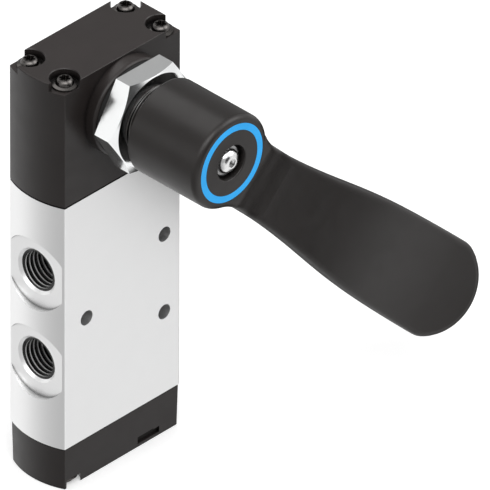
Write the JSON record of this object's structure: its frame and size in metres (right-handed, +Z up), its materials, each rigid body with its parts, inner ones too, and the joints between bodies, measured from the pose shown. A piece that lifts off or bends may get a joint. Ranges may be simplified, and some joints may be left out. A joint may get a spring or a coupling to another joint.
{
  "type": "hand lever air valve",
  "caption": "Hand lever air valve: upright aluminium body with threaded ports, black end covers and a turning paddle lever on a panel collar.",
  "frame": {"origin": "on the flat back face, in the middle of the aluminium body", "axes": "+Z up along the spool and the tall side, +Y out of the back face, the lever on the -Y side"},
  "size_m": [0.1204, 0.0742, 0.1394],
  "materials": {
    "aluminium_body": "satin anodised",
    "black_casting": "satin, fine moulded grain",
    "dark_screws": "dark coated",
    "plated_nut": "bright plated",
    "seal_rubber": "matt",
    "bearing_plastic": "smooth",
    "turned_steel": "turned",
    "turned_aluminium": "turned and anodised",
    "lever_plastic": "satin, fine moulded grain",
    "blue_plastic": "satin",
    "bright_steel": "bright",
    "sintered_bronze": "porous"
  },
  "bodies": {
    "valve": {"valve_body": "aluminium_body", "actuator_housing": "black_casting", "end_cap": "black_casting", "housing_screws": "dark_screws", "end_cap_screws": "dark_screws", "panel_nut": "plated_nut", "panel_seal": "seal_rubber", "spindle_bush": "bearing_plastic", "detent_sleeve": "bearing_plastic", "spacer_cages": "bearing_plastic", "spool_seals": "seal_rubber", "upper_guide": "bearing_plastic", "breather_filter": "sintered_bronze", "top_gasket": "seal_rubber", "bottom_gasket": "seal_rubber"},
    "lever": {"lever": "lever_plastic", "colour_ring": "blue_plastic", "lever_washer": "bright_steel", "lever_screw": "bright_steel", "spindle": "turned_steel", "spindle_seal": "seal_rubber", "retaining_ring": "turned_steel"},
    "spool": {"spool": "turned_aluminium", "spool_driver": "bearing_plastic", "cross_pin": "turned_steel", "detent_balls": "turned_steel", "detent_spring": "turned_steel"}
  },
  "joints": [
    {"name": "lever_turn", "type": "hinge", "parent": "valve", "child": "lever", "pos_m": [0, -0.022, 0.06745], "axis": [0, 1, 0], "range_deg": [0, 90]},
    {"name": "spool_slide", "type": "slide", "parent": "valve", "child": "spool", "axis": [0, 0, -1], "range_m": [0, 0.00566]}
  ],
  "couplings": [
    {"joint": "spool_slide", "follows": "lever_turn", "m_per_rad": 0.0036013}
  ]
}
